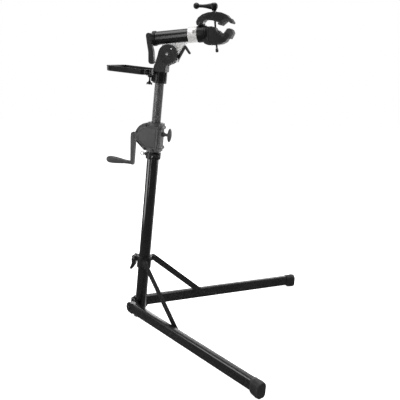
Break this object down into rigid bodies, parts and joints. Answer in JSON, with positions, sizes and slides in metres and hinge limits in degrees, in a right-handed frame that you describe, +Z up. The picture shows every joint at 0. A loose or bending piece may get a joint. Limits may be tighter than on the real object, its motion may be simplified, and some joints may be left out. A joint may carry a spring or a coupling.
{
  "type": "bicycle repair stand",
  "caption": "Folding bicycle work stand: two swing-out legs, crank-raised leaning mast, tool tray, and a tilting, rotating screw clamp.",
  "frame": {"origin": "on the floor where the mast's axis meets it, at the middle of the mast foot's sole", "axes": "+Z up, +X the way the clamp and the opened legs point, +Y to the left of that"},
  "size_m": [0.7954, 1.1192, 1.3655],
  "materials": {
    "gloss_black": "gloss black powder coat",
    "satin_black": "satin black powder coat",
    "cast_black": "black painted casting",
    "cast_grey": "dark grey painted casting",
    "anodised": "dark grey anodised extrusion",
    "raw_aluminium": "bead blasted casting",
    "steel": "zinc plated steel",
    "nylon": "black nylon",
    "plastic_black": "moulded black plastic",
    "grip_grey": "dark grey plastic",
    "rubber": "black rubber",
    "pad_rubber": "dark grey rubber"
  },
  "bodies": {
    "base": {"lower_mast_tube": "gloss_black", "guide_bush": "nylon", "base_bracket": "satin_black", "base_foot": "rubber", "pivot_bolt_left": "satin_black", "pivot_bolt_right": "satin_black", "mast_clamp_ring": "cast_black", "mast_clamp_bolt": "steel", "gear_case_left": "cast_grey", "gear_case_right": "cast_grey"},
    "upper_mast": {"upper_mast_tube": "anodised", "mast_rack": "steel", "slide_bush": "nylon", "neck_bracket": "cast_black", "tilt_bolt": "steel", "stop_pin": "steel", "tool_tray": "plastic_black", "tray_bracket": "cast_black"},
    "drive": {"pinion_shaft": "steel", "crown_gear": "steel"},
    "crank": {"crank_shaft": "steel", "crank_arm": "cast_grey", "grip_spindle": "steel"},
    "grip": {"crank_grip": "grip_grey"},
    "brake": {"brake_screw": "steel", "brake_knob": "cast_grey"},
    "lock_pin": {"lock_pin": "steel", "pull_ring": "steel"},
    "leg_left": {"leg_heel_left": "cast_black", "leg_tube_left": "satin_black", "leg_bolt_left": "satin_black", "leg_boot_left": "rubber"},
    "leg_right": {"leg_heel_right": "cast_black", "leg_tube_right": "satin_black", "leg_bolt_right": "satin_black", "leg_boot_right": "rubber"},
    "collar": {"slide_collar": "cast_black", "collar_pin_left": "satin_black", "collar_pin_right": "satin_black", "collar_cam_bolt": "steel"},
    "strut_left": {"strut_left": "satin_black", "strut_pin_left": "satin_black"},
    "strut_right": {"strut_right": "satin_black", "strut_pin_right": "satin_black"},
    "cam_lever": {"collar_lever": "plastic_black"},
    "arm": {"arm_casting": "raw_aluminium", "arm_sleeve": "satin_black", "rear_cap": "cast_black"},
    "tilt_latch": {"tilt_latch": "plastic_black"},
    "rear_lever": {"rear_lever": "plastic_black"},
    "clamp_head": {"clamp_head": "cast_black", "lower_jaw_pad": "pad_rubber", "jaw_pin": "satin_black"},
    "upper_jaw": {"upper_jaw": "cast_black", "upper_jaw_pad": "pad_rubber"},
    "screw_seat": {"thrust_washer": "steel"},
    "screw": {"clamp_screw": "steel", "screw_tip": "rubber", "screw_handle": "plastic_black"},
    "thumb_screw": {"thumb_screw": "cast_black"}
  },
  "joints": [
    {"name": "mast_lift", "type": "slide", "parent": "base", "child": "upper_mast", "axis": [0.108, 0, 0.9942], "range_m": [-0.11, 0.4]},
    {"name": "pinion_turn", "type": "hinge", "parent": "base", "child": "drive", "pos_m": [0.0606, 0, 0.82729], "axis": [0, 1, 0], "range_deg": [-1834.46, 505.2]},
    {"name": "crank_turn", "type": "hinge", "parent": "base", "child": "crank", "pos_m": [0.00006, 0, 0.83387], "axis": [-0.9942, 0, 0.108], "range_deg": [-841.34, 3056.77]},
    {"name": "grip_spin", "type": "hinge", "parent": "crank", "child": "grip", "pos_m": [-0.07298, 0, 0.71708], "axis": [-0.9942, 0, 0.108], "continuous": true},
    {"name": "brake_turn", "type": "hinge", "parent": "base", "child": "brake", "pos_m": [0.15102, 0, 0.83457], "axis": [0.9942, 0, -0.108], "range_deg": [0, 720]},
    {"name": "pin_pull", "type": "slide", "parent": "base", "child": "lock_pin", "axis": [-0.9942, 0, 0.108], "range_m": [0, 0.008], "stiffness_N_per_m": 600, "springref_m": -0.006},
    {"name": "leg_fold", "type": "hinge", "parent": "base", "child": "leg_left", "pos_m": [-0.02222, 0.03666, 0.05271], "axis": [0.6005, -0.797, -0.0652], "range_deg": [0, 79.4]},
    {"name": "leg_fold_right", "type": "hinge", "parent": "base", "child": "leg_right", "pos_m": [-0.02222, -0.03666, 0.05271], "axis": [-0.6005, -0.797, 0.0652], "range_deg": [-0.1, 79.5]},
    {"name": "collar_slide", "type": "slide", "parent": "base", "child": "collar", "axis": [0.108, 0, 0.9942], "range_m": [-0.0005, 0.44233]},
    {"name": "strut_swing_left", "type": "hinge", "parent": "collar", "child": "strut_left", "pos_m": [0.05221, 0.05276, 0.26994], "axis": [-0.6005, 0.797, 0.0652], "range_deg": [-0.1, 55.35]},
    {"name": "strut_swing_right", "type": "hinge", "parent": "collar", "child": "strut_right", "pos_m": [0.05221, -0.05276, 0.26994], "axis": [0.6005, 0.797, -0.0652], "range_deg": [-0.1, 55.35]},
    {"name": "collar_cam_turn", "type": "hinge", "parent": "collar", "child": "cam_lever", "pos_m": [-0.01581, 0, 0.28035], "axis": [0, 1, 0], "range_deg": [0, 95]},
    {"name": "head_tilt", "type": "hinge", "parent": "upper_mast", "child": "arm", "pos_m": [0.15783, 0, 1.16577], "axis": [0, 1, 0], "range_deg": [0, 45]},
    {"name": "latch_press", "type": "hinge", "parent": "arm", "child": "tilt_latch", "pos_m": [0.19139, 0, 1.14357], "axis": [0, 1, 0], "range_deg": [0, 18], "stiffness_Nm_per_rad": 1, "springref_deg": -14.32},
    {"name": "rear_lever_swing", "type": "hinge", "parent": "arm", "child": "rear_lever", "pos_m": [0.07307, 0, 1.24129], "axis": [0, 1, 0], "range_deg": [0, 90]},
    {"name": "head_spin", "type": "hinge", "parent": "arm", "child": "clamp_head", "pos_m": [0.28199, 0, 1.24427], "axis": [0.9968, 0, 0.0793], "continuous": true},
    {"name": "jaw_open", "type": "hinge", "parent": "clamp_head", "child": "upper_jaw", "pos_m": [0.29189, 0, 1.28378], "axis": [0, -1, 0], "range_deg": [-4, 10]},
    {"name": "screw_lift", "type": "slide", "parent": "clamp_head", "child": "screw_seat", "axis": [-0.0793, 0, 0.9968], "range_m": [-0.00425, 0.01032]},
    {"name": "screw_turn", "type": "hinge", "parent": "screw_seat", "child": "screw", "pos_m": [0.34621, 0, 1.33224], "axis": [-0.0793, 0, 0.9968], "range_deg": [-365.42, 912.06]},
    {"name": "thumb_turn", "type": "hinge", "parent": "upper_mast", "child": "thumb_screw", "pos_m": [0.07074, 0, 1.05855], "axis": [0.108, 0, 0.9942], "range_deg": [-720, 0]}
  ],
  "couplings": [
    {"joint": "pinion_turn", "follows": "mast_lift", "rad_per_m": -80},
    {"joint": "crank_turn", "follows": "mast_lift", "rad_per_m": 133.33},
    {"joint": "leg_fold_right", "follows": "leg_fold", "ratio": 1},
    {"joint": "collar_slide", "follows": "leg_fold", "m_per_rad": 0.31883},
    {"joint": "strut_swing_left", "follows": "leg_fold", "ratio": 0.69583},
    {"joint": "strut_swing_right", "follows": "leg_fold", "ratio": 0.69583},
    {"joint": "screw_lift", "follows": "jaw_open", "m_per_rad": 0.058},
    {"joint": "screw_turn", "follows": "jaw_open", "ratio": 91.106}
  ]
}
